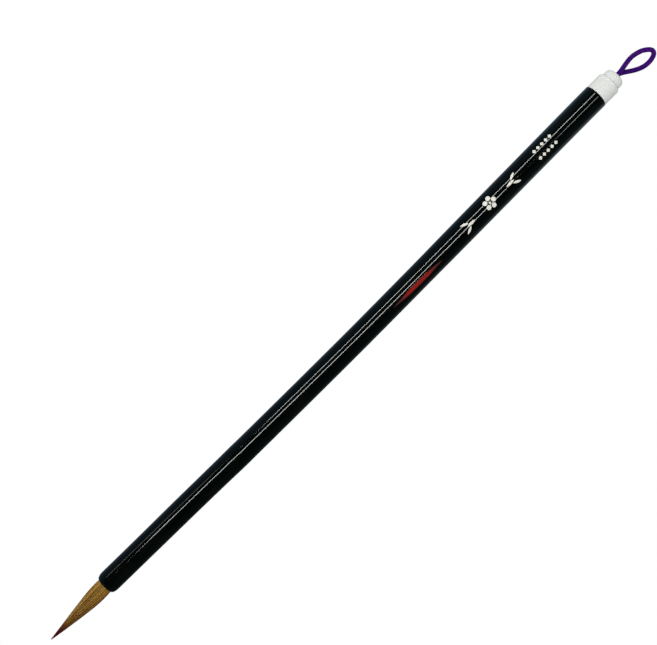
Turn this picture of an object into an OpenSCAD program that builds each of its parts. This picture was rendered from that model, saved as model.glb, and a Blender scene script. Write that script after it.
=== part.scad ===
// A fine calligraphy brush lying on its side, tuft towards -X and hanging loop
// towards +X. The lowest line of the handle touches Z = 0, and X = 0 is midway
// between the point of the tuft and the end of the cap.

/* [Handle] */
// Length from the mouth of the hair socket to the end that the cap sits on
handle_len = 223.6; // [200:0.1:260]
// Radius of the straight lower stretch that a protective cap slides over
seat_r = 3.8; // [3.7:0.05:3.85]
// Length of that straight stretch
seat_len = 13; // [8:0.5:16]
// Radius of the handle at the cap end, where it is thickest
top_r = 4.2; // [4.2:0.05:4.5]
// Length of the rounded lip at the mouth
lip_len = 2.4; // [1:0.1:4]
// Radius of the socket that holds the tuft
socket_r = 2.8; // [2.75:0.05:2.95]
// Depth of that socket
socket_depth = 13; // [12:0.5:16]
// Radius of the natural hollow of the bamboo
hollow_r = 1.5; // [1:0.1:2]
// Depth of the engraved marks and of the red groove's lacquer
inlay_depth = 0.15; // [0.1:0.05:0.3]

/* [Tuft] */
// Length of hair that shows outside the mouth
tuft_len = 24.9; // [24:0.1:26]
// Radius of the hair where it leaves the mouth
tuft_r = 2.7; // [2.6:0.05:2.7]
// Radius of the bound root of the tuft
root_r = 2.1; // [2:0.05:2.15]
// Distance from the mouth to the centre that the hair bends about
bend_at = 2.2; // [2:0.1:3]

/* [Cap] */
// Radius of the cap's collar
collar_r = 4.1; // [3.6:0.05:4.2]
// Length of the collar, its rounded shoulder included
collar_len = 6.2; // [4:0.1:8]
// Radius of the knob
knob_r = 3.4; // [3:0.05:3.6]
// Length of the knob
knob_len = 3.1; // [2.5:0.1:4]
// Radius of the spigot that is glued into the handle
spigot_r = 2.8; // [2.7:0.05:2.8]
// Length of the spigot
spigot_len = 10; // [8:0.5:14]

/* [Loop] */
// Radius of the braided cord
cord_r = 0.8; // [0.6:0.025:0.8]
// Radius of the hole that both strands of the cord leave by
cord_hole_r = 1.7; // [1.7:0.05:1.8]

/* [Hidden] */
$fn = 96;

overshoot = 1;
axis_z = top_r;
total_len = tuft_len + handle_len + collar_len + knob_len;
mouth_x = tuft_len - total_len / 2;
top_x = mouth_x + handle_len;
cap_end_x = total_len / 2;

// Handle: [distance from the mouth, radius] along the bamboo, with its one faint node
lip_r = 2.95;
diaphragm_at = 60;
diaphragm_len = 2.5;
handle_line = [
    [lip_len, seat_r], [lip_len + seat_len, seat_r], [33, 3.87], [45, 3.9], [54.5, 3.96],
    [diaphragm_at, 4.02], [64.5, 3.98], [144.5, 3.99], [154.5, 4.05], [177.5, 4.11],
    [197.5, 4.15], [handle_len - 0.3, top_r]
];
top_round = 0.3;
seam_turn = 5;

// Tuft: [distance from the mouth, radius] of the hair and of the layers in it
tuft_line = [
    [3.3, 2.74], [5.7, 2.58], [8.2, 2.31], [10.7, 1.98], [13.2, 1.69], [15.6, 1.37],
    [16, 1.32], [18.2, 0.97], [20.6, 0.61], [23.1, 0.24], [tuft_len, 0.04]
];
mantle_end = 16;
belly_end = 14;
core_r = 1.0;
belly_r = 1.6;
core_r_at_belly_end = 0.9;
belly_r_at_belly_end = 1.24;
belly_r_at_mantle_end = 1.12;
bend_gap = 0.1;
bend_clear = 1.6;
seal_len = 1.2;
bound_len = 6.5;
thread_r = 0.17;
thread_turns = 8;
thread_pitch = 0.36;
thread_from_seal = 1.2;
glue_inner_r = 2.46;
glue_short_of_root = 0.5;
bend_x = mouth_x - bend_at;
socket_end_x = mouth_x + socket_depth;
seal_x = socket_end_x - seal_len;

// Cap
cap_bore_r = 2.9;
cap_bore_len = 11;
collar_round = 0.8;
groove_r = 3.2;
groove_len = 0.25;
knob_round = 1.4;
hole_round = 0.4;
cavity_r = 2.2;
cavity_above_seat = 1;
knot_r = 2.15;
knot_len = 4;
knot_round = 0.9;
tail_len = 2.5;
strand_z = 0.85;
swing_x = cap_end_x - 0.3;
tail_gap = 0.65;
cap_glue_from_end = 0.2;
cap_glue_from_spigot_end = 1;

// Marks: distance from the mouth, and angle from the top of the brush
groove_at = [140, 21];
lower_leaf_at = [164.7, 0];
blossom_at = [174.4, -5];
upper_leaf_at = [184.3, -1];
lozenges_at = [199.5, -4];
groove_size = [21, 1.75];
leaf_size = [3.4, 0.9];
side_leaf_size = [2.9, 0.85];
petal_r = 0.8;
lozenge_side = 1;
lozenge_pitch = 1.75;
lozenge_row_y = 1.5;

// The loop's route: out of the hole, down to the surface it lies on, round and
// back, with x measured from the end of the cap and z from that surface.
loop_route = [
    [-0.3, 0, 5.05], [0.2, 0, 5.05], [1.5, 0.05, 5], [2.6, 0.2, 4.8], [4, 0.45, 4.3],
    [5.7, 0.65, 3.4], [7.3, 0.8, 2.5], [8.9, 0.75, 1.7], [10.4, 0.5, 1.1],
    [11.7, 0.15, 0.85], [12.6, -0.2, 0.83], [13.4, -0.7, 0.83], [14.2, -1.3, 0.83],
    [14.8, -1.95, 0.83], [15.05, -2.65, 0.83], [14.8, -3.35, 0.83],
    [14.2, -3.85, 0.83], [13.2, -4.2, 0.83], [12, -4.4, 0.83], [10.7, -4.4, 0.83],
    [9.4, -4.2, 0.9], [8.2, -3.85, 1.1], [6.9, -3.3, 1.5], [5.5, -2.6, 2.05],
    [4.2, -1.85, 2.6], [3, -1.1, 3.05], [1.9, -0.5, 3.25], [0.9, -0.1, 3.35],
    [0.2, 0, 3.35], [-0.3, 0, 3.35]
];
cord_sides = 8;

// Shapes that are round about the brush's axis are drawn along Z, from Z = 0 at x
module along_x(x) {
    translate([x, 0, axis_z]) rotate([0, 90, 0]) children();
}

module rod(x, length, r) {
    along_x(x) cylinder(r = r, h = length);
}

function flip(line) = [for (i = [len(line) - 1 : -1 : 0]) line[i]];
function as_radius(line) = [for (p = line) [p[1], p[0]]];

// Quarter round from angle a0 to a1 about the centre [r, z]
function arc(r, z, radius, a0, a1) =
    [for (i = [0 : 8]) let (a = a0 + (a1 - a0) * i / 8) [r + radius * cos(a), z + radius * sin(a)]];

function lip_points() =
    [for (i = [0 : 8]) let (a = 90 * i / 8)
        [lip_r + (seat_r - lip_r) * sin(a), lip_len * (1 - cos(a))]];

// The handle before any hole is made, its surface set in by skin. The seam of the
// turned surface lies seam_turn degrees away from the line that the brush rests on.
module handle_blank(skin) {
    along_x(mouth_x)
        rotate(seam_turn) rotate_extrude()
            polygon([
                for (p = concat(
                    [[0, 0]], lip_points(), as_radius(handle_line),
                    arc(top_r - top_round, handle_len - top_round, top_round, 0, 90),
                    [[0, handle_len]]
                )) [max(0, p[0] - skin), p[1]]
            ]);
}

module surface_layer() {
    difference() {
        handle_blank(0);
        handle_blank(inlay_depth);
    }
}

// A flat outline pressed into the handle's skin, square to it at that angle
module on_the_skin(place) {
    intersection() {
        surface_layer();
        translate([mouth_x + place[0], 0, axis_z])
            rotate([place[1], 0, 0])
                linear_extrude(top_r + overshoot) children();
    }
}

// Two arcs that meet in a point at each end
module lens(size) {
    r = (size[0] * size[0] + size[1] * size[1]) / (4 * size[1]);
    intersection_for (side = [-1, 1])
        translate([0, side * (r - size[1] / 2)]) circle(r = r, $fn = 720);
}

// Three bamboo leaves: one ahead and one on each side
module leaves(way) {
    translate([way * 0.9, 0]) lens(leaf_size);
    for (side = [-1, 1])
        translate([way * -1.1, side * 1.25]) rotate(way * side * -25) lens(side_leaf_size);
}

module blossom() {
    circle(r = petal_r / 2);
    for (i = [0 : 4]) rotate(72 * i) translate([2 * petal_r, 0]) circle(r = petal_r);
}

module lozenges() {
    for (row = [-1, 1], i = [-2 : 2])
        translate([lozenge_pitch * i, lozenge_row_y * row])
            rotate(45) square(lozenge_side, center = true);
}

module red_groove_lacquer() {
    color("firebrick") on_the_skin(groove_at) lens(groove_size);
}

module lower_leaf_mark() {
    color("beige") on_the_skin(lower_leaf_at) leaves(1);
}

module blossom_mark() {
    color("beige") on_the_skin(blossom_at) blossom();
}

module upper_leaf_mark() {
    color("beige") on_the_skin(upper_leaf_at) leaves(-1);
}

module lozenge_rows() {
    color("beige") on_the_skin(lozenges_at) lozenges();
}

// Black-lacquered bamboo: socket below, two hollow chambers with the node's wall
// between them, and a bore above for the cap's spigot
module handle_shaft() {
    lower_hollow = diaphragm_at - diaphragm_len / 2;
    upper_hollow = diaphragm_at + diaphragm_len / 2;
    color("black")
        difference() {
            handle_blank(0);
            rod(mouth_x - overshoot, socket_depth + overshoot, socket_r);
            rod(socket_end_x - overshoot, lower_hollow - socket_depth + overshoot, hollow_r);
            rod(mouth_x + upper_hollow, handle_len - upper_hollow, hollow_r);
            rod(top_x - cap_bore_len, cap_bore_len + overshoot, cap_bore_r);
            red_groove_lacquer();
            lower_leaf_mark();
            blossom_mark();
            upper_leaf_mark();
            lozenge_rows();
        }
}

// The part of the tuft that stays with the handle: its bound root, and the hair up
// to a ball that the free hair bends over
module root_blank() {
    along_x(seal_x)
        rotate([180, 0, 0])
            rotate_extrude()
                polygon([
                    [0, 0], [root_r, 0], [root_r, bound_len],
                    [tuft_r, seal_x - mouth_x - 1], [tuft_r, seal_x - bend_x], [0, seal_x - bend_x]
                ]);
    translate([bend_x, 0, axis_z]) sphere(r = tuft_r);
}

module root_layer(inner, outer) {
    difference() {
        intersection() {
            root_blank();
            rod(bend_x - tuft_r - overshoot, seal_x - bend_x + tuft_r + overshoot, outer);
        }
        if (inner > 0)
            rod(bend_x - tuft_r - 2 * overshoot, seal_x - bend_x + tuft_r + 4 * overshoot, inner);
    }
}

module core_hair_root() {
    color("peru") root_layer(0, core_r);
}

module belly_hair_root() {
    color("goldenrod") root_layer(core_r, belly_r);
}

module mantle_hair_root() {
    color("darkgoldenrod") root_layer(belly_r, tuft_r + overshoot);
}

// Turns of thread side by side round the root
module root_thread() {
    color("ivory")
        for (i = [0 : thread_turns - 1])
            along_x(seal_x - thread_from_seal - thread_pitch * i)
                rotate_extrude() translate([root_r + thread_r, 0]) circle(r = thread_r, $fn = 24);
}

module root_seal() {
    color("sienna") rod(seal_x, seal_len, root_r);
}

module socket_glue() {
    glue_len = bound_len + seal_len - glue_short_of_root;
    color("khaki")
        difference() {
            rod(socket_end_x - glue_len, glue_len, socket_r);
            rod(socket_end_x - glue_len - overshoot, glue_len + 2 * overshoot, glue_inner_r);
        }
}

// A free layer of hair, drawn from the mouth outwards, hollowed to ride over the ball
module free_hair(points) {
    difference() {
        along_x(mouth_x) rotate([180, 0, 0]) rotate_extrude() polygon(points);
        translate([bend_x, 0, axis_z]) sphere(r = tuft_r + bend_gap);
    }
}

free_from = bend_at + bend_clear;
tuft_from_r = 2.69;

module mantle_hair() {
    color("darkgoldenrod")
        free_hair(concat(
            [[belly_r, free_from], [tuft_from_r, free_from]],
            as_radius([for (p = tuft_line) if (p[0] > free_from && p[0] <= mantle_end) p]),
            [[belly_r_at_mantle_end, mantle_end], [belly_r_at_belly_end, belly_end]]
        ));
}

module belly_hair() {
    color("goldenrod")
        free_hair([
            [core_r, bend_at], [belly_r, bend_at], [belly_r, free_from],
            [belly_r_at_belly_end, belly_end], [core_r_at_belly_end, belly_end],
            [core_r, free_from]
        ]);
}

module core_hair() {
    color("saddlebrown")
        free_hair(concat(
            [[0, bend_at], [core_r, bend_at], [core_r, free_from],
             [core_r_at_belly_end, belly_end], [belly_r_at_belly_end, belly_end],
             [belly_r_at_mantle_end, mantle_end]],
            as_radius([for (p = tuft_line) if (p[0] >= mantle_end) p]),
            [[0, tuft_len]]
        ));
}

// White cap in one piece: spigot, collar, groove and knob, hollow for the knot
module end_cap() {
    knob_z = collar_len + groove_len;
    end_z = collar_len + knob_len;
    cavity_z = cavity_above_seat;
    color("whitesmoke")
        along_x(top_x)
            rotate_extrude()
                polygon(concat(
                    [[spigot_r, -spigot_len], [spigot_r, 0], [collar_r, 0]],
                    arc(collar_r - collar_round, collar_len - collar_round, collar_round, 0, 90),
                    [[groove_r, collar_len], [groove_r, knob_z], [knob_r, knob_z]],
                    arc(knob_r - knob_round, end_z - knob_round, knob_round, 0, 90),
                    arc(cord_hole_r + hole_round, end_z - hole_round, hole_round, 90, 180),
                    [[cord_hole_r, cavity_z], [cavity_r, cavity_z], [cavity_r, -spigot_len]]
                ));
}

module cap_glue() {
    glue_len = spigot_len - cap_glue_from_spigot_end;
    color("khaki")
        difference() {
            rod(top_x - glue_len, glue_len - cap_glue_from_end, cap_bore_r);
            rod(top_x - glue_len - overshoot, glue_len + 2 * overshoot, spigot_r);
        }
}

// The cord's two strands inside the cap, and its two cut ends below the knot
module cord_tails() {
    knot_top = top_x + cavity_above_seat;
    color("indigo")
        for (side = [-1, 1]) translate([0, 0, side * strand_z]) {
            rod(knot_top, swing_x - tail_gap - knot_top, cord_r);
            rod(knot_top - knot_len - tail_len, tail_len, cord_r);
        }
}

module cord_knot() {
    color("indigo")
        along_x(top_x + cavity_above_seat - knot_len)
            rotate_extrude()
                polygon(concat(
                    [[0, 0]], arc(knot_r - knot_round, knot_round, knot_round, -90, 0),
                    arc(knot_r - knot_round, knot_len - knot_round, knot_round, 0, 90),
                    [[0, knot_len]]
                ));
}

function unit(v) = v / norm(v);
function heading(route, i) =
    unit(route[min(i + 1, len(route) - 1)] - route[max(i - 1, 0)]);

// One closed tube swept along a route, a ring of points at each of its points
module swept_tube(route, r, sides) {
    rings = len(route);
    points = [
        for (i = [0 : rings - 1])
            let (
                ahead = i == 0 || i == rings - 1 ? [i == 0 ? 1 : -1, 0, 0] : heading(route, i),
                across = unit(cross([0, 0, 1], ahead)),
                up = cross(ahead, across)
            )
            for (k = [0 : sides - 1])
                let (a = 360 * k / sides)
                route[i] + r * (cos(a) * across + sin(a) * up)
    ];
    faces = concat(
        [[for (k = [0 : sides - 1]) k]],
        [[for (k = [sides - 1 : -1 : 0]) (rings - 1) * sides + k]],
        [for (i = [0 : rings - 2], k = [0 : sides - 1], half = [0, 1])
            let (a = i * sides + k, b = i * sides + (k + 1) % sides)
            half == 0 ? [a, a + sides, b] : [b, a + sides, b + sides]]
    );
    polyhedron(points = points, faces = faces);
}

module hanging_loop() {
    color("indigo")
        swept_tube([for (p = loop_route) [cap_end_x + p[0], p[1], p[2]]], cord_r, cord_sides);
}

handle_shaft();
red_groove_lacquer();
lower_leaf_mark();
blossom_mark();
upper_leaf_mark();
lozenge_rows();
core_hair_root();
belly_hair_root();
mantle_hair_root();
root_thread();
root_seal();
socket_glue();
core_hair();
belly_hair();
mantle_hair();
end_cap();
cap_glue();
cord_tails();
cord_knot();
hanging_loop();
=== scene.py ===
"""Looks of a fine calligraphy brush: black-lacquered bamboo, a pointed tuft of golden hair, a white end cap
and a braided loop. Everything is in metres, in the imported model's own frame: +X runs from tuft to cap."""

import math
import random

import bpy
from mathutils import Matrix, Vector, noise


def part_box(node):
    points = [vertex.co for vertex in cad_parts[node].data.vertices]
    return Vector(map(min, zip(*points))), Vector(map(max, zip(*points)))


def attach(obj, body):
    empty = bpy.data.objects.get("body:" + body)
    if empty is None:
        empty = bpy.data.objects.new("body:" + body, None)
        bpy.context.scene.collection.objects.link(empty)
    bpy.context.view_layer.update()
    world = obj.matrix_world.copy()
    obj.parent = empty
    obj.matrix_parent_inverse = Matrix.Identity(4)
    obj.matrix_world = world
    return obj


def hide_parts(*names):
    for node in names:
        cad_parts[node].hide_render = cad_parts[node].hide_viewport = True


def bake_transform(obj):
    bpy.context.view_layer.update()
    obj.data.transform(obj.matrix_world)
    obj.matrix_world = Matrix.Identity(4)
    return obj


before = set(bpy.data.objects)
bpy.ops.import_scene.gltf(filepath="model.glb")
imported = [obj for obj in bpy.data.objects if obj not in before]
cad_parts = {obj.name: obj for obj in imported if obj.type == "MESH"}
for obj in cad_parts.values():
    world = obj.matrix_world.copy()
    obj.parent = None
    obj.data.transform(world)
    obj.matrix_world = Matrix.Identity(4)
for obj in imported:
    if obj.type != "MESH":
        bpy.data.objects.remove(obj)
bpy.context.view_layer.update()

MM = 0.001
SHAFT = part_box("handle_shaft")
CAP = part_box("end_cap")
MOUTH_X = SHAFT[0].x
TOP_X = SHAFT[1].x
CAP_END_X = CAP[1].x
TIP_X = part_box("core_hair")[0].x
AXIS_Z = (SHAFT[0].z + SHAFT[1].z) / 2
TUFT_LEN = MOUTH_X - TIP_X

# Outlines as (millimetres from the mouth, radius in millimetres)
HANDLE_LINE = [
    (2.4, 3.8), (15.4, 3.8), (33, 3.87), (45, 3.9), (54.5, 3.96), (60, 4.02), (64.5, 3.98), (144.5, 3.99),
    (154.5, 4.05), (177.5, 4.11), (197.5, 4.15), (223.3, 4.2),
]
TUFT_LINE = [
    (-2, 2.6), (0, 2.7), (3.3, 2.77), (5.7, 2.65), (8.2, 2.41), (10.7, 2.09), (13.2, 1.79), (15.6, 1.46),
    (18.2, 1.1), (20.6, 0.76), (23.1, 0.4), (24.9, 0.1),
]

# The natural bow of bamboo and hair towards -Y: (millimetres from the mouth, share of its depth)
BOW_DEPTH = 1.03 * MM
BOW_LINE = [
    (-24.9, 0.05), (-19, 0.13), (-9, 0.12), (-4, 0.05), (0, 0), (10, 0.12), (22, 0.25), (36, 0.39),
    (48, 0.56), (60, 0.75), (75, 0.87), (92, 0.95), (112, 0.99), (125, 0.92), (138, 0.82), (152, 0.68),
    (170, 0.49), (190, 0.29), (205, 0.14), (216, 0.04), (223.6, 0),
]


def on_line(line, place):
    """The smooth curve through an outline's points, read at one place."""
    place = min(max(place, line[0][0]), line[-1][0])
    i = max(k for k in range(len(line) - 1) if line[k][0] <= place)
    (x0, y0), (x1, y1) = line[i], line[i + 1]
    before = line[max(i - 1, 0)]
    after = line[min(i + 2, len(line) - 1)]
    slope0 = (y1 - before[1]) / (x1 - before[0])
    slope1 = (after[1] - y0) / (after[0] - x0)
    t, span = (place - x0) / (x1 - x0), x1 - x0
    return (
        y0 * (2 * t**3 - 3 * t**2 + 1)
        + slope0 * span * (t**3 - 2 * t**2 + t)
        + y1 * (3 * t**2 - 2 * t**3)
        + slope1 * span * (t**3 - t**2)
    )


def handle_radius(x):
    """The handle's radius at x."""
    return MM * on_line(HANDLE_LINE, (x - MOUTH_X) / MM)


def tuft_radius(x):
    """The tuft's radius at x."""
    return MM * on_line(TUFT_LINE, (MOUTH_X - x) / MM)


def bow(x):
    """How far the brush's middle line lies towards -Y at x."""
    return BOW_DEPTH * on_line(BOW_LINE, (x - MOUTH_X) / MM)


# ---------------------------------------------------------------- camera

# The view is from straight above, turned so that the brush rises to the right
CAMERA_TURN = math.radians(44.91)
CAMERA_AIM = Vector((6.82 * MM, 9.2 * MM, AXIS_Z))
CAMERA_HEIGHT = 0.430
FOCAL_LENGTH, SENSOR_WIDTH = 73.0, 36.0


def make_camera():
    data = bpy.data.cameras.new("camera")
    data.lens, data.sensor_width = FOCAL_LENGTH, SENSOR_WIDTH
    camera = bpy.data.objects.new("camera", data)
    camera.location = CAMERA_AIM + Vector((0, 0, CAMERA_HEIGHT))
    camera.rotation_euler = (0, 0, -CAMERA_TURN)
    bpy.context.scene.collection.objects.link(camera)
    bpy.context.scene.camera = camera
    return camera


# ---------------------------------------------------------------- shader nodes

# The colour sockets of a Mix node
MIX_FIRST, MIX_SECOND, MIX_RESULT = 6, 7, 2


class Wire:
    """A node's output socket. Arithmetic on it adds Math nodes."""

    def __init__(self, graph, socket):
        self.graph, self.socket = graph, socket

    def maths(self, operation, *values):
        return self.graph.node("Math", {"operation": operation}, dict(enumerate(values)))

    def __add__(self, other):
        return self.maths("ADD", self, other)

    def __radd__(self, other):
        return self.maths("ADD", other, self)

    def __sub__(self, other):
        return self.maths("SUBTRACT", self, other)

    def __rsub__(self, other):
        return self.maths("SUBTRACT", other, self)

    def __mul__(self, other):
        return self.maths("MULTIPLY", self, other)

    def __rmul__(self, other):
        return self.maths("MULTIPLY", other, self)

    def ramp(self, low, high, soft=True):
        """0 at low, 1 at high, and a smooth or an even change between them."""
        kind = "SMOOTHSTEP" if soft else "LINEAR"
        return self.graph.node(
            "MapRange", {"interpolation_type": kind}, {"Value": self, "From Min": low, "From Max": high}
        )


class Graph:
    """The node tree of a material or of the world."""

    def __init__(self, owner):
        owner.use_nodes = True
        self.tree = owner.node_tree

    def node(self, kind, settings=None, values=None, output=0):
        node = self.tree.nodes.new("ShaderNode" + kind)
        for name, value in (settings or {}).items():
            setattr(node, name, value)
        for name, value in (values or {}).items():
            self.feed(node.inputs[name], value)
        return Wire(self, node.outputs[output])

    def feed(self, socket, value):
        if isinstance(value, Wire):
            self.tree.links.new(value.socket, socket)
        else:
            socket.default_value = value

    def mix(self, share, first, second):
        """Colours mixed by share: 0 is the first, 1 the second."""
        first, second = (c if isinstance(c, Wire) else (*c, 1.0) for c in (first, second))
        sockets = {"Factor": share, MIX_FIRST: first, MIX_SECOND: second}
        return self.node("Mix", {"data_type": "RGBA"}, sockets, MIX_RESULT)

    def place(self, axis=None, kind="Object"):
        """Position in the model's frame, or direction in the world: all of it, or one of X, Y and Z."""
        here = self.node("TexCoord", output=kind)
        if axis is None:
            return here
        return self.node("SeparateXYZ", {}, {0: here}, output=axis)


class Finish(Graph):
    """A material: one Principled shader, with even values set on it and nodes that vary the others."""

    def __init__(self, name, **even):
        self.material = bpy.data.materials.new(name)
        super().__init__(self.material)
        self.shader = next(n for n in self.tree.nodes if n.type == "BSDF_PRINCIPLED")
        for socket, value in even.items():
            self.shader.inputs[socket.replace("_", " ")].default_value = value

    def set(self, socket, value):
        self.feed(self.shader.inputs[socket], value)

    def stretched(self, along, across):
        """Position scaled for a grain that runs along the brush, in features a metre."""
        scale = (along, across, across)
        return self.node("VectorMath", {"operation": "MULTIPLY"}, {0: self.place(), 1: scale})

    def noise(self, where, scale=1.0, detail=2.0, roughness=0.5):
        return self.node(
            "TexNoise", {}, {"Vector": where, "Scale": scale, "Detail": detail, "Roughness": roughness}
        )

    def attribute(self, name):
        return self.node("Attribute", {"attribute_name": name}, output="Fac")

    def bump(self, height, depth):
        self.set("Normal", self.node("Bump", {}, {"Height": height, "Distance": depth, "Strength": 1.0}))


# ---------------------------------------------------------------- finishes

LACQUER_BLACK = (0.0006, 0.0016, 0.0010)
LACQUER_WORN = (0.0022, 0.0030, 0.0024)
RED = (0.335, 0.013, 0.008)
RED_FADED = (0.270, 0.017, 0.014)
RED_THIN = (0.090, 0.026, 0.026)
CREAM = (0.81, 0.79, 0.71)
CREAM_DIRTY = (0.60, 0.57, 0.48)
GOLD = (0.36, 0.180, 0.018)
GOLD_PALE = (0.60, 0.385, 0.092)
GOLD_DEEP = (0.21, 0.085, 0.007)
BROWN = (0.12, 0.036, 0.003)
MAROON = (0.085, 0.003, 0.006)
CAP_WHITE = (0.785, 0.790, 0.770)
CAP_GREY = (0.735, 0.740, 0.715)
PURPLE = (0.072, 0.002, 0.270)
PURPLE_DARK = (0.012, 0.001, 0.064)
PURPLE_MAGENTA = (0.190, 0.005, 0.290)
THREAD, THREAD_DARK = (0.75, 0.70, 0.58), (0.52, 0.45, 0.33)
RESIN, RESIN_DARK = (0.25, 0.12, 0.04), (0.14, 0.06, 0.02)
GLUE, GLUE_DARK = (0.80, 0.74, 0.55), (0.66, 0.58, 0.38)

# How deep the fine relief of each finish is
LACQUER_RELIEF, FILL_RELIEF, PLASTIC_RELIEF = 0.010 * MM, 0.020 * MM, 0.004 * MM
CORD_RELIEF, HIDDEN_RELIEF = 0.030 * MM, 0.030 * MM


def lacquer_surface(finish):
    """Brushed-on lacquer over bamboo: long soft ridges of the culm, and fine specks in the coat."""
    culm = finish.noise(finish.stretched(28, 600), detail=2.0)
    specks = finish.noise(finish.place(), scale=2600.0, detail=1.0)
    finish.bump(culm * 0.35 + specks * 0.004, LACQUER_RELIEF)
    wear = finish.noise(finish.stretched(90, 500), detail=4.0)
    finish.set("Roughness", 0.05 + wear * 0.06)
    return wear


def black_lacquer():
    finish = Finish("black_lacquer", Coat_Weight=0.3, Coat_Roughness=0.03, IOR=1.5)
    wear = lacquer_surface(finish)
    finish.set("Base Color", finish.mix(wear.ramp(0.45, 0.75), LACQUER_BLACK, LACQUER_WORN))
    return finish.material


def red_lacquer():
    """Red lacquer, dull and thin towards its edges and ends, where the black shows through in streaks."""
    finish = Finish("red_lacquer", Coat_Weight=0.3, Coat_Roughness=0.05, IOR=1.5)
    wear = lacquer_surface(finish)
    streaks = (finish.noise(finish.stretched(260, 3000), detail=3.0) - 0.5) * 0.5
    red = finish.mix(wear.ramp(0.35, 0.7), RED, RED_FADED)
    end = finish.attribute("end")
    red = finish.mix((end + streaks * 0.5).ramp(0.28, 0.78), red, RED_THIN)
    bare = (finish.attribute("edge") - end * 0.35 + streaks).ramp(0.38, 1.0)
    finish.set("Base Color", finish.mix(bare, red, LACQUER_BLACK))
    return finish.material


def cream_fill():
    finish = Finish("cream_fill", IOR=1.45)
    cloud = finish.noise(finish.place(), scale=1400.0, detail=5.0, roughness=0.65)
    finish.set("Base Color", finish.mix(cloud.ramp(0.5, 0.8), CREAM, CREAM_DIRTY))
    finish.set("Roughness", 0.42 + cloud * 0.2)
    finish.bump(cloud, FILL_RELIEF)
    return finish.material


def hair(name):
    """Golden hair. Each hair has its own tone, in the fine hairs lowered towards -Y as painted shade, and all
    deepen along the tuft to a dark red-brown point.
    """
    finish = Finish(name, IOR=1.5, Specular_IOR_Level=0.22)
    tone, along = finish.attribute("tone"), finish.attribute("along")
    gold = finish.mix(tone.ramp(0.5, 1.0), GOLD, GOLD_PALE)
    deep = finish.mix(tone.ramp(0.45, 0.9), BROWN, GOLD_DEEP)
    body = finish.mix((along * 0.62 + 0.16 - tone * 0.6).ramp(-0.14, 0.26), gold, deep)
    point = (along + (tone - 0.5) * 0.10).ramp(0.66, 0.88)
    finish.set("Base Color", finish.mix(point, body, MAROON))
    finish.set("Roughness", 0.36 + tone * 0.16)
    return finish.material


def white_plastic():
    finish = Finish(
        "white_plastic",
        IOR=1.49,
        Specular_IOR_Level=0.12,
        Subsurface_Weight=0.15,
        Subsurface_Radius=(0.0012, 0.0013, 0.0011),
        Subsurface_Scale=1.0,
    )
    cloud = finish.noise(finish.place(), scale=260.0, detail=4.0)
    finish.set("Base Color", finish.mix(cloud.ramp(0.4, 0.75), CAP_WHITE, CAP_GREY))
    turned = finish.noise(finish.stretched(9000, 40), detail=2.0)
    finish.set("Roughness", 0.20 + cloud * 0.14)
    finish.bump(turned * 0.2 + cloud * 0.5, PLASTIC_RELIEF)
    return finish.material


def purple_cord():
    finish = Finish("purple_cord", IOR=1.5, Specular_IOR_Level=0.08, Sheen_Weight=0.01, Sheen_Roughness=0.45)
    tone = finish.attribute("tone")
    fibres = finish.noise(finish.place(), scale=9000.0, detail=2.0)
    dull = finish.mix(fibres.ramp(0.35, 0.7), PURPLE_DARK, PURPLE)
    finish.set("Base Color", finish.mix(tone.ramp(0.5, 0.95), dull, PURPLE_MAGENTA))
    finish.set("Roughness", 0.48 + fibres * 0.25)
    finish.bump(fibres, CORD_RELIEF)
    return finish.material


def hidden_finish(name, colour, dark, scale, roughness):
    """For what is shut inside the handle and the cap: thread, resin, glue and the cord's ends."""
    finish = Finish(name, IOR=1.48)
    cloud = finish.noise(finish.place(), scale=scale, detail=4.0)
    finish.set("Base Color", finish.mix(cloud.ramp(0.35, 0.7), colour, dark))
    finish.set("Roughness", roughness + cloud * 0.15)
    finish.bump(cloud, HIDDEN_RELIEF)
    return finish.material


# ---------------------------------------------------------------- making meshes


def make_piece(name, points, faces, material, sharp_deg=38, attributes=None):
    mesh = bpy.data.meshes.new(name)
    mesh.from_pydata([tuple(p) for p in points], [], faces)
    mesh.validate()
    mesh.shade_smooth()
    mesh.set_sharp_from_angle(angle=math.radians(sharp_deg))
    for attribute, values in (attributes or {}).items():
        mesh.attributes.new(attribute, "FLOAT", "POINT").data.foreach_set("value", values)
    mesh.materials.append(material)
    piece = bpy.data.objects.new(name, mesh)
    bpy.context.scene.collection.objects.link(piece)
    return piece


def about_axis(x, r, angle):
    """A point at x, r from the brush's axis; angle 0 is on top and a quarter turn is towards -Y."""
    return Vector((x, -r * math.sin(angle) - bow(x), AXIS_Z + r * math.cos(angle)))


def lathe(line, sides, ripple=None):
    """Points and faces of a closed solid turned about the axis, whose outline is line, as (x, r)."""
    points, rings, faces = [], [], []
    for x, r in line:
        count = 1 if r == 0 else sides
        rings.append(range(len(points), len(points) + count))
        for k in range(count):
            angle = 2 * math.pi * k / sides
            points.append(about_axis(x, r + (ripple(x, r, angle) if ripple and r else 0), angle))
    for a, b in zip(rings, rings[1:]):
        for k in range(sides):
            corner = [a[k % len(a)], a[(k + 1) % len(a)], b[(k + 1) % len(b)], b[k % len(b)]]
            faces.append(tuple(dict.fromkeys(corner)))
    return points, faces


def arc(x, r, radius, start, end, steps=10):
    """Points of an arc about (x, r), between angles in degrees: 0 is to +X and 90 away from the axis."""
    angles = [math.radians(start + (end - start) * i / steps) for i in range(steps + 1)]
    return [(x + radius * math.cos(a), r + radius * math.sin(a)) for a in angles]


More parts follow.
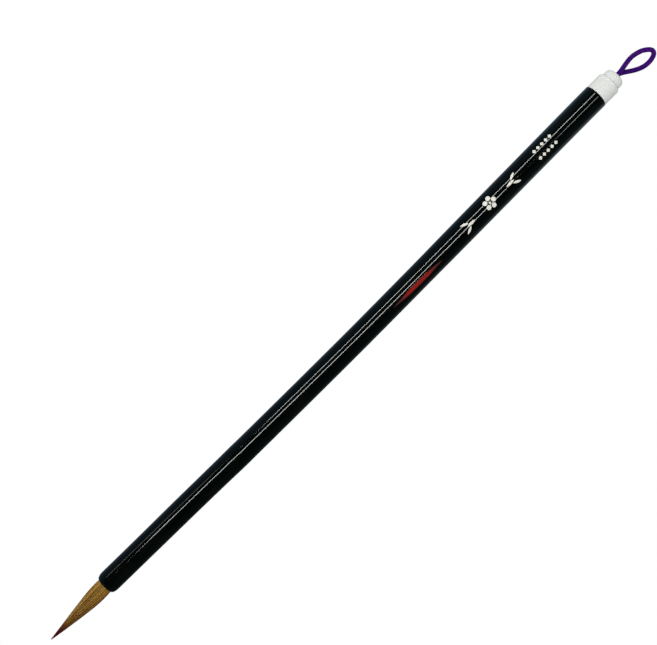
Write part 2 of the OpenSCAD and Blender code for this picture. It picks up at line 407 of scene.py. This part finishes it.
def skin(rings, sides, start=0):
    """Faces between successive rings of sides points each, with flat ends."""
    faces = [tuple(start + k for k in reversed(range(sides)))]
    last = start + (rings - 1) * sides
    faces.append(tuple(last + k for k in range(sides)))
    for i in range(rings - 1):
        for k in range(sides):
            a, b = start + i * sides + k, start + i * sides + (k + 1) % sides
            faces.append((a, b, b + sides, a + sides))
    return faces


# ---------------------------------------------------------------- hanging loop

# The cord's middle line, in millimetres from the cap's end, the brush's axis and the floor
LOOP_ROUTE = [
    (-0.3, 0, 5.05), (0.2, 0, 5.05), (1.5, 0.05, 5), (2.6, 0.2, 4.8), (4, 0.45, 4.3), (5.7, 0.65, 3.4),
    (7.3, 0.8, 2.5), (8.9, 0.75, 1.7), (10.4, 0.5, 1.1), (11.7, 0.15, 0.85), (12.6, -0.2, 0.83),
    (13.4, -0.7, 0.83), (14.2, -1.3, 0.83), (14.8, -1.95, 0.83), (15.05, -2.65, 0.83), (14.8, -3.35, 0.83),
    (14.2, -3.85, 0.83), (13.2, -4.2, 0.83), (12, -4.4, 0.83), (10.7, -4.4, 0.83), (9.4, -4.2, 0.9),
    (8.2, -3.85, 1.1), (6.9, -3.3, 1.5), (5.5, -2.6, 2.05), (4.2, -1.85, 2.6), (3, -1.1, 3.05),
    (1.9, -0.5, 3.25), (0.9, -0.1, 3.35), (0.2, 0, 3.35), (-0.3, 0, 3.35),
]

# One yarn goes once round the braid in a pitch; a step is the distance between its rings
YARNS_EACH_WAY = 6
BRAID_PITCH, YARN_STEP = 4.6 * MM, 0.085 * MM
YARN_HALF_WIDTH, YARN_HALF_THICK = 0.27 * MM, 0.13 * MM
BRAID_R, BRAID_WAVE = 0.65 * MM, 0.06 * MM
CORE_SUNK, CORE_TONE = 0.02 * MM, 0.1
CORE_SIDES, YARN_SIDES, ROUTE_CUTS = 12, 8, 40


def smooth_route(route, step):
    """A curve through the route's points, cut into equal steps."""
    points = [Vector((CAP_END_X + x * MM, y * MM, z * MM)) for x, y, z in route]
    dense = []
    for i in range(len(points) - 1):
        a, b = points[max(i - 1, 0)], points[i]
        c, d = points[i + 1], points[min(i + 2, len(points) - 1)]
        for k in range(ROUTE_CUTS):
            t = k / ROUTE_CUTS
            square, cube = 2 * a - 5 * b + 4 * c - d, 3 * b - a - 3 * c + d
            dense.append(0.5 * (2 * b + (c - a) * t + square * t**2 + cube * t**3))
    dense.append(points[-1])
    even, left = [dense[0]], step
    for a, b in zip(dense, dense[1:]):
        run = (b - a).length
        while run >= left > 0:
            a = a + (b - a) * (left / run)
            run -= left
            left = step
            even.append(a)
        left -= run
    return even


def frames_along(path):
    """A steady pair of directions square to the path at each of its points."""
    across = Vector((0, 1, 0))
    frames = []
    for i in range(len(path)):
        ahead = (path[min(i + 1, len(path) - 1)] - path[max(i - 1, 0)]).normalized()
        across = (across - ahead * across.dot(ahead)).normalized()
        frames.append((ahead, across.copy(), ahead.cross(across)))
    return frames


def braided_cord(path):
    """Yarns that cross over and under each other, half of them wound each way, round a plain core."""
    frames = frames_along(path)
    points = []
    rng = random.Random(7)
    for here, (_, across, up) in zip(path, frames):
        for k in range(CORE_SIDES):
            a = 2 * math.pi * k / CORE_SIDES
            points.append(here + (BRAID_R - CORE_SUNK) * (math.cos(a) * across + math.sin(a) * up))
    faces = skin(len(path), CORE_SIDES)
    tones = [CORE_TONE] * len(points)
    for way in (1, -1):
        slant = math.atan2(2 * math.pi * BRAID_R * way, BRAID_PITCH)
        for yarn in range(YARNS_EACH_WAY):
            start = len(points)
            tone = rng.random()
            for i, (here, (ahead, across, up)) in enumerate(zip(path, frames)):
                turn = 2 * math.pi * i * YARN_STEP / BRAID_PITCH
                a = way * turn + 2 * math.pi * yarn / YARNS_EACH_WAY
                out = math.cos(a) * across + math.sin(a) * up
                side = math.cos(a) * up - math.sin(a) * across
                width = side * math.cos(slant) - ahead * math.sin(slant)
                centre = here + out * (BRAID_R + way * BRAID_WAVE * math.cos(YARNS_EACH_WAY * turn))
                for k in range(YARN_SIDES):
                    b = 2 * math.pi * k / YARN_SIDES
                    points.append(
                        centre + YARN_HALF_WIDTH * math.cos(b) * width + YARN_HALF_THICK * math.sin(b) * out
                    )
                    tones.append(0.5 * tone + 0.5 * noise.noise(here * 900 + Vector((yarn, way, 0))) + 0.25)
            faces += skin(len(path), YARN_SIDES, start)
    piece = make_piece("braided_loop", points, faces, purple_cord(), 60, {"tone": tones})
    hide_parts("hanging_loop")
    [tuple(p) for p in path[::6]] + [tuple(path[-1])]
    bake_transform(piece)


# ---------------------------------------------------------------- handle

SOCKET_R, SOCKET_DEPTH = 2.8 * MM, 13 * MM
CAP_BORE_R, CAP_BORE_LEN = 2.9 * MM, 11 * MM
LIP_R, LIP_LEN = 2.95 * MM, 2.4 * MM
TOP_ROUND = 0.3 * MM
HANDLE_SIDES, HANDLE_RINGS, LIP_STEPS = 144, 420, 16

# The bamboo's unevenness: only outside this radius, and not within this length of either end
RIPPLE_DEPTH, RIPPLE_LEN, RIPPLE_LOBES = 0.010 * MM, 30 * MM, 1.6
OUTSIDE_R, EVEN_ENDS = 3.5 * MM, 4 * MM


def culm_ripple(x, r, angle):
    """The bamboo's long soft unevenness, which fades out at both ends."""
    from_end = min(x - MOUTH_X, TOP_X - x) / EVEN_ENDS
    if from_end <= 1 or r < OUTSIDE_R:
        return 0
    spot = Vector((x / RIPPLE_LEN, RIPPLE_LOBES * math.cos(angle), RIPPLE_LOBES * math.sin(angle)))
    return RIPPLE_DEPTH * noise.noise(spot) * min(1, from_end - 1)


def make_handle():
    lip_r = handle_radius(MOUTH_X + LIP_LEN)
    lip = [
        (MOUTH_X + LIP_LEN * (1 - math.cos(a)), LIP_R + (lip_r - LIP_R) * math.sin(a))
        for a in (math.radians(90 * i / LIP_STEPS) for i in range(LIP_STEPS + 1))
    ]
    first, last = MOUTH_X + LIP_LEN, TOP_X - TOP_ROUND
    places = [first + (last - first) * i / HANDLE_RINGS for i in range(1, HANDLE_RINGS)]
    length = [(x, handle_radius(x)) for x in places]
    top_r = handle_radius(last)
    line = [
        (MOUTH_X + SOCKET_DEPTH, 0), (MOUTH_X + SOCKET_DEPTH, SOCKET_R), (MOUTH_X, SOCKET_R), *lip, *length,
        *arc(last, top_r - TOP_ROUND, TOP_ROUND, 90, 0), (TOP_X, CAP_BORE_R),
        (TOP_X - CAP_BORE_LEN, CAP_BORE_R), (TOP_X - CAP_BORE_LEN, 0),
    ]
    points, faces = lathe(line, HANDLE_SIDES, culm_ripple)
    piece = make_piece("lacquered_handle", points, faces, black_lacquer())
    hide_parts("handle_shaft")
    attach(piece, "handle")


# ---------------------------------------------------------------- marks on the handle

# Places as (millimetres from the mouth, degrees round from the top towards -Y)
BUD_GROOVE_AT = (140, 21)
LOWER_LEAF_AT, BLOSSOM_AT, UPPER_LEAF_AT = (164.7, 0), (174.4, -5), (184.3, -1)
LOZENGES_AT = (199.5, -4)
BUD_GROOVE_SIZE, BUD_GROOVE_TURN = (22.6, 1.75), -0.9
FILL_PROUD, FILL_SUNK = 0.012 * MM, 0.05 * MM

# A fill's section, as (share of the way out from its middle, height above the lacquer)
FILL_LINE = [
    (0.9, -FILL_SUNK), (1.0, -FILL_SUNK), (1.0, 0), (0.96, 0.6 * FILL_PROUD), (0.88, FILL_PROUD),
    (0.7, FILL_PROUD), (0.45, FILL_PROUD), (0.2, FILL_PROUD),
]


def lens_outline(size, centre=(0, 0), turn=0, steps=22):
    """Two arcs that meet in a point at each end, turned by degrees about the middle."""
    length, width = size
    r = (length**2 + width**2) / (4 * width)
    half = math.asin(length / 2 / r)
    angles = [-half + 2 * half * i / steps for i in range(steps)]
    upper = [(r * math.sin(a), r * math.cos(a) - r + width / 2) for a in angles]
    outline = upper + [(-u, -v) for u, v in upper]
    c, s = math.cos(math.radians(turn)), math.sin(math.radians(turn))
    return [(centre[0] + u * c - v * s, centre[1] + u * s + v * c) for u, v in outline]


def round_outline(r, centre=(0, 0), steps=36):
    angles = [2 * math.pi * i / steps for i in range(steps)]
    return [(centre[0] + r * math.cos(a), centre[1] + r * math.sin(a)) for a in angles]


def lozenge_outline(side, centre, steps=6):
    half = side / math.sqrt(2)
    corners = [(half, 0), (0, half), (-half, 0), (0, -half)]
    outline = []
    for (u0, v0), (u1, v1) in zip(corners, corners[1:] + corners[:1]):
        for i in range(steps):
            outline.append((centre[0] + u0 + (u1 - u0) * i / steps, centre[1] + v0 + (v1 - v0) * i / steps))
    return outline


def leaves(way):
    """Three bamboo leaves: one ahead and one on each side."""
    outlines = [lens_outline((3.4, 0.9), (way * 0.9, 0))]
    for side in (-1, 1):
        outlines.append(lens_outline((2.9, 0.85), (way * -1.1, side * 1.25), way * side * -25))
    return outlines


def blossom():
    """Five round petals about a small middle."""
    outlines = [round_outline(0.4)]
    for i in range(5):
        a = math.radians(72 * i)
        outlines.append(round_outline(0.8, (1.6 * math.cos(a), 1.6 * math.sin(a))))
    return outlines


def lozenges():
    """Two rows of five."""
    return [lozenge_outline(1.0, (1.75 * i, 1.5 * row)) for row in (-1, 1) for i in range(-2, 3)]


def inlay(name, outlines, place, material, node, ragged=0.03):
    """Flat outlines wrapped on to the handle as thin closed pads, a little proud of the lacquer."""
    points, faces, edge, end = [], [], [], []
    middle_x, middle_angle = MOUTH_X + place[0] * MM, math.radians(place[1])
    for outline in outlines:
        cu = sum(u for u, _ in outline) / len(outline)
        cv = sum(v for _, v in outline) / len(outline)
        reach = max(abs(u - cu) for u, _ in outline)
        start = len(points)
        for share, height in FILL_LINE:
            for u, v in outline:
                wobble = 1 + ragged * noise.noise(Vector((u * 2.5, v * 2.5, place[0])))
                x = middle_x + MM * (cu + (u - cu) * share * wobble)
                r = handle_radius(x)
                angle = middle_angle - MM * (cv + (v - cv) * share * wobble) / r
                points.append(about_axis(x, r + height, angle))
                edge.append(share)
                end.append(share * abs(u - cu) / reach)
        faces += skin(len(FILL_LINE), len(outline), start)
    piece = make_piece(name, points, faces, material, 60, {"edge": edge, "end": end})
    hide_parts(node)
    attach(piece, "handle")


def make_marks():
    groove = [lens_outline(BUD_GROOVE_SIZE, turn=BUD_GROOVE_TURN, steps=60)]
    inlay("red_lens", groove, BUD_GROOVE_AT, red_lacquer(), "red_groove_lacquer", 0.01)
    cream = cream_fill()
    for name, outlines, place, node in (
        ("lower_leaves", leaves(1), LOWER_LEAF_AT, "lower_leaf_mark"),
        ("blossom", blossom(), BLOSSOM_AT, "blossom_mark"),
        ("upper_leaves", leaves(-1), UPPER_LEAF_AT, "upper_leaf_mark"),
        ("lozenges", lozenges(), LOZENGES_AT, "lozenge_rows"),
    ):
        inlay(name, outlines, place, cream, node)


# ---------------------------------------------------------------- end cap

COLLAR_R, COLLAR_LEN, COLLAR_ROUND = 4.1 * MM, 6.2 * MM, 0.8 * MM
GROOVE_R, GROOVE_LEN = 3.27 * MM, 0.25 * MM
KNOB_R, KNOB_ROUND = 3.4 * MM, 1.5 * MM
HOLE_R, HOLE_ROUND = 1.7 * MM, 0.4 * MM
SPIGOT_R, SPIGOT_LEN = 2.8 * MM, 10 * MM
CAVITY_R, CAVITY_ABOVE = 2.2 * MM, 1 * MM
EDGE_ROUND, GROOVE_CORNER = 0.08 * MM, 0.04 * MM
CAP_SIDES, COLLAR_STEPS = 96, 20


def make_cap():
    collar_x = TOP_X + COLLAR_LEN
    straight = COLLAR_LEN - COLLAR_ROUND - EDGE_ROUND
    line = [
        (TOP_X - SPIGOT_LEN, CAVITY_R), (TOP_X - SPIGOT_LEN, SPIGOT_R), (TOP_X, SPIGOT_R),
        *arc(TOP_X + EDGE_ROUND, COLLAR_R - EDGE_ROUND, EDGE_ROUND, 180, 90, 4),
        *((TOP_X + EDGE_ROUND + straight * i / COLLAR_STEPS, COLLAR_R) for i in range(1, COLLAR_STEPS)),
        *arc(collar_x - COLLAR_ROUND, COLLAR_R - COLLAR_ROUND, COLLAR_ROUND, 90, 12),
        (collar_x, GROOVE_R + GROOVE_CORNER), (collar_x + GROOVE_CORNER, GROOVE_R),
        (collar_x + GROOVE_LEN - GROOVE_CORNER, GROOVE_R), (collar_x + GROOVE_LEN, GROOVE_R + GROOVE_CORNER),
        *arc(collar_x + GROOVE_LEN + EDGE_ROUND, KNOB_R - EDGE_ROUND, EDGE_ROUND, 180, 90, 4),
        *arc(CAP_END_X - KNOB_ROUND, KNOB_R - KNOB_ROUND, KNOB_ROUND, 90, 0, 16),
        *arc(CAP_END_X - HOLE_ROUND, HOLE_R + HOLE_ROUND, HOLE_ROUND, 0, -90),
        (TOP_X + CAVITY_ABOVE, HOLE_R), (TOP_X + CAVITY_ABOVE, CAVITY_R),
    ]
    points, faces = lathe(line + line[:1], CAP_SIDES)
    piece = make_piece("white_end_cap", points, faces, white_plastic(), 50)
    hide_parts("end_cap")
    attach(piece, "handle")


# ---------------------------------------------------------------- tuft

HAIR_R = 0.045 * MM
HAIR_SIDES, HAIR_RINGS = 3, 16
HAIR_FROM = 1.6 * MM

# How far a hair drifts round the tuft (radians), and tucks in or stands off (shares of the tuft's radius)
DRIFT, TUCK, LIFT = 0.09, (0.0, 0.10), (-0.02, 0.015)

# How finely the hair parts into locks, how much a lock differs in tone, and how much deeper all of it is
LOCKS, LOCK_TONE, TONE_SHIFT = 6, 0.7, 0.06

# Of the hairs towards -Y, away from the key lamp, this share is painted darker as shade, by up to this much
PAINTED_SHADE_SHARE, PAINTED_SHADE_DEPTH = 0.6, 0.5

# A hair thins by this share of itself, from this share of its length on
TAPER, TAPER_FROM = 0.85, 0.55

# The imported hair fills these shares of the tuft's radius and length, and comes to its point at the third
BODY_R, BODY_LEN, BODY_TIP = 0.93, 0.985, 0.99
RIDGES, RIDGE_DEPTH = 26, 0.022
BODY_SIDES, BODY_RINGS = 160, 90


def tuft_bends(piece):
    """Bakes a piece of hair's place into its mesh, without bending it."""
    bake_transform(piece)


def strands(name, count, seed, depth, reach, nodes):
    """Fine tapered hairs along the tuft, within shares of its radius and of its length."""
    rng = random.Random(seed)
    points, faces, tones, along = [], [], [], []
    for i in range(count):
        angle = 2 * math.pi * (i + rng.random()) / count
        share = rng.uniform(*depth)
        end = TUFT_LEN * rng.uniform(*reach) ** 0.8
        drift = rng.uniform(-DRIFT, DRIFT)
        lock = noise.noise(Vector((LOCKS * math.cos(angle), LOCKS * math.sin(angle), seed)))
        tone = rng.random()
        # Painted shade: hairs on the -Y side, away from the key lamp, get a lower tone and so a darker colour
        if rng.random() < PAINTED_SHADE_SHARE:
            tone *= 1 - PAINTED_SHADE_DEPTH * max(0, math.sin(angle))
        tone = min(1.0, max(0.0, tone + LOCK_TONE * lock - TONE_SHIFT))
        tuck = rng.uniform(*TUCK)
        lift = rng.uniform(*LIFT)
        start = len(points)
        for k in range(HAIR_RINGS):
            t = k / (HAIR_RINGS - 1)
            out = -HAIR_FROM + (end + HAIR_FROM) * t
            x = MOUTH_X - out
            r = tuft_radius(x) * (share - tuck * t**3 + lift * math.sin(math.pi * t))
            a = angle + drift * t**2 + 0.02 * noise.noise(Vector((i * 3.1, t * 3, seed)))
            centre = about_axis(x, r, a)
            thick = HAIR_R * (1 - TAPER * max(0, (t - TAPER_FROM) / (1 - TAPER_FROM)) ** 1.5)
            for s in range(HAIR_SIDES):
                b = 2 * math.pi * s / HAIR_SIDES + a
                points.append(centre + Vector((0, thick * math.sin(b), thick * math.cos(b))))
                tones.append(tone)
                along.append(max(0.0, out / TUFT_LEN))
        faces += skin(HAIR_RINGS, HAIR_SIDES, start)
    piece = make_piece(
        name, points, faces, hair(name), 180, {"tone": tones, "along": along}
    )
    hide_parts(*nodes)
    tuft_bends(piece)


def make_hair_body():
    """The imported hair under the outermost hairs, finely ridged."""
    line = [(MOUTH_X + HAIR_FROM, 0)]
    for i in range(BODY_RINGS + 1):
        x = MOUTH_X + HAIR_FROM - (TUFT_LEN * BODY_LEN + HAIR_FROM) * i / BODY_RINGS
        line.append((x, tuft_radius(x) * BODY_R))
    line.append((MOUTH_X - TUFT_LEN * BODY_TIP, 0))

    def ridges(x, r, angle):
        spot = Vector((x * 60, RIDGES * math.cos(angle), RIDGES * math.sin(angle)))
        return r * RIDGE_DEPTH * noise.noise(spot)

    points, faces = lathe(line, BODY_SIDES, ridges)
    tones = [0.45 + 0.9 * noise.noise(Vector((p.x * 90, 9000 * p.y, 9000 * (p.z - AXIS_Z)))) for p in points]
    along = [max(0.0, (MOUTH_X - p.x) / TUFT_LEN) for p in points]
    piece = make_piece(
        "packed_hair", points, faces, hair("packed_hair"), 180, {"tone": tones, "along": along}
    )
    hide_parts("belly_hair", "belly_hair_root")
    tuft_bends(piece)


def make_tuft():
    make_hair_body()
    strands("mantle_hairs", 1300, 11, (0.93, 1.0), (0.5, 1.0), ("mantle_hair", "mantle_hair_root"))
    strands("point_hairs", 420, 23, (0.86, 0.97), (0.9, 1.0), ("core_hair", "core_hair_root"))


# ---------------------------------------------------------------- hidden pieces


def finish_hidden_nodes():
    thread = hidden_finish("waxed_thread", THREAD, THREAD_DARK, 4000.0, 0.55)
    resin = hidden_finish("amber_resin", RESIN, RESIN_DARK, 900.0, 0.2)
    glue = hidden_finish("clear_glue", GLUE, GLUE_DARK, 1200.0, 0.25)
    cord = hidden_finish("cord_inside", PURPLE, PURPLE_DARK, 5000.0, 0.55)
    for node, material in (
        ("root_thread", thread), ("root_seal", resin), ("socket_glue", glue), ("cap_glue", glue),
        ("cord_tails", cord), ("cord_knot", cord),
    ):
        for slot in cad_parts[node].material_slots:
            slot.material = material


# ---------------------------------------------------------------- floor, light and surroundings

FLOOR_HALF, FLOOR_GLOW = 3.0, 0.52
STRIP_HEIGHT, STRIP_COLOUR = 0.6, (0.95, 1.0, 0.98)
PURE_WHITE, EVEN_GREY, DARK_CEILING = (1.0, 1.0, 1.0), (0.60, 0.60, 0.60), (0.002, 0.003, 0.003)


def make_floor():
    """A white surface that lights the brush from below, itself unseen."""
    mesh = bpy.data.meshes.new("floor")
    corners = [(FLOOR_HALF * x, FLOOR_HALF * y, 0) for x, y in ((-1, -1), (1, -1), (1, 1), (-1, 1))]
    mesh.from_pydata(corners, [], [(0, 1, 2, 3)])
    finish = Finish(
        "white_floor", Base_Color=(0, 0, 0, 1), Specular_IOR_Level=0.0, Emission_Color=(1, 1, 1, 1),
        Emission_Strength=FLOOR_GLOW,
    )
    mesh.materials.append(finish.material)
    floor = bpy.data.objects.new("floor", mesh)
    bpy.context.scene.collection.objects.link(floor)
    floor.visible_glossy = False
    floor.visible_camera = False


def seen_in_handle(camera, x, side):
    """Where a lamp hangs that shows in the handle at x, from side -1 at its +Y edge to 1 at its -Y edge."""
    nearby = 0.5 * MM
    slope = (bow(x + nearby) - bow(x - nearby)) / (2 * nearby)
    level = Vector((slope, 1, 0)).normalized()
    normal = math.sqrt(1 - side * side) * Vector((0, 0, 1)) - side * level
    spot = Vector((x, -bow(x), AXIS_Z)) + handle_radius(x) * normal
    eye = (camera.location - spot).normalized()
    ray = 2 * normal.dot(eye) * normal - eye
    return spot + ray * (STRIP_HEIGHT / ray.z)


def strip_lamp(camera, name, start, end, width, radiance):
    """A long thin lamp whose reflection runs from one place on the handle to another."""
    a, b = seen_in_handle(camera, *start), seen_in_handle(camera, *end)
    length = (b - a).length
    data = bpy.data.lights.new(name, "AREA")
    data.shape, data.size, data.size_y = "RECTANGLE", length, width
    data.energy = radiance * math.pi * length * width
    data.color = STRIP_COLOUR
    lamp = bpy.data.objects.new(name, data)
    middle = (a + b) / 2
    along = (b - a).normalized()
    across = middle.normalized().cross(along).normalized()
    turn = Matrix((along, across, along.cross(across))).transposed()
    lamp.matrix_world = Matrix.Translation(middle) @ turn.to_4x4()
    bpy.context.scene.collection.objects.link(lamp)


def soft_box(name, place, size, energy):
    """A broad soft lamp aimed at the brush, which doesn't show in its gloss."""
    data = bpy.data.lights.new(name, "AREA")
    data.shape, data.size, data.energy = "DISK", size, energy
    lamp = bpy.data.objects.new(name, data)
    lamp.location = place
    lamp.rotation_euler = Vector(place).to_track_quat("Z", "Y").to_euler()
    lamp.visible_glossy = False
    bpy.context.scene.collection.objects.link(lamp)


def make_surroundings():
    """Pure white to the eye, an even grey for light, and for gloss a dark room, dimly blue low down."""
    world = bpy.data.worlds.new("surroundings")
    bpy.context.scene.world = world
    graph = Graph(world)
    side = graph.place("Y", "Generated").ramp(-0.35, 0.35)
    end = graph.place("X", "Generated").ramp(-0.25, 0.3, soft=False)
    end = end * end * end
    height = graph.place("Z", "Generated")
    near_walls = graph.mix(end, (0.016, 0.021, 0.024), (0.040, 0.050, 0.058))
    near_low = graph.mix(end, (0.042, 0.058, 0.070), (0.430, 0.500, 0.560))
    far_walls = graph.mix(end, (0.042, 0.064, 0.098), (0.058, 0.090, 0.130))
    far_low = graph.mix(end, (0.105, 0.155, 0.210), (0.250, 0.330, 0.410))
    walls, low_walls = graph.mix(side, near_walls, far_walls), graph.mix(side, near_low, far_low)
    glow = graph.mix(height.ramp(0.1, -0.75), walls, low_walls)
    gloss = graph.mix(height.ramp(0.45, 0.75), glow, DARK_CEILING)
    in_gloss = graph.node("LightPath", output="Is Glossy Ray")
    to_the_eye = graph.node("LightPath", output="Is Camera Ray")
    unseen = graph.mix(in_gloss, EVEN_GREY, gloss)
    graph.feed(graph.tree.nodes["Background"].inputs["Color"], graph.mix(to_the_eye, unseen, PURE_WHITE))


def make_lights(camera):
    """Strips by where their reflections start and end, with their widths and radiances, and one soft lamp."""
    strip_lamp(camera, "near_strip", (-0.0866, -0.18), (0.0763, 0.06), 0.021, 22.0)
    strip_lamp(camera, "near_strip_end", (0.0999, 0.09), (0.1225, 0.119), 0.021, 9.0)
    strip_lamp(camera, "far_strip", (-0.0299, -0.38), (0.1225, -0.215), 0.021, 24.0)
    strip_lamp(camera, "end_strip", (-0.103, -0.445), (-0.056, -0.415), 0.030, 4.0)
    soft_box("key", (-0.35, 0.55, 0.9), 0.9, 2.3)


bpy.context.scene.view_settings.view_transform = "Standard"
camera = make_camera()
braided_cord(smooth_route(LOOP_ROUTE, YARN_STEP))
make_handle()
make_marks()
make_cap()
make_tuft()
finish_hidden_nodes()
make_floor()
make_surroundings()
make_lights(camera)
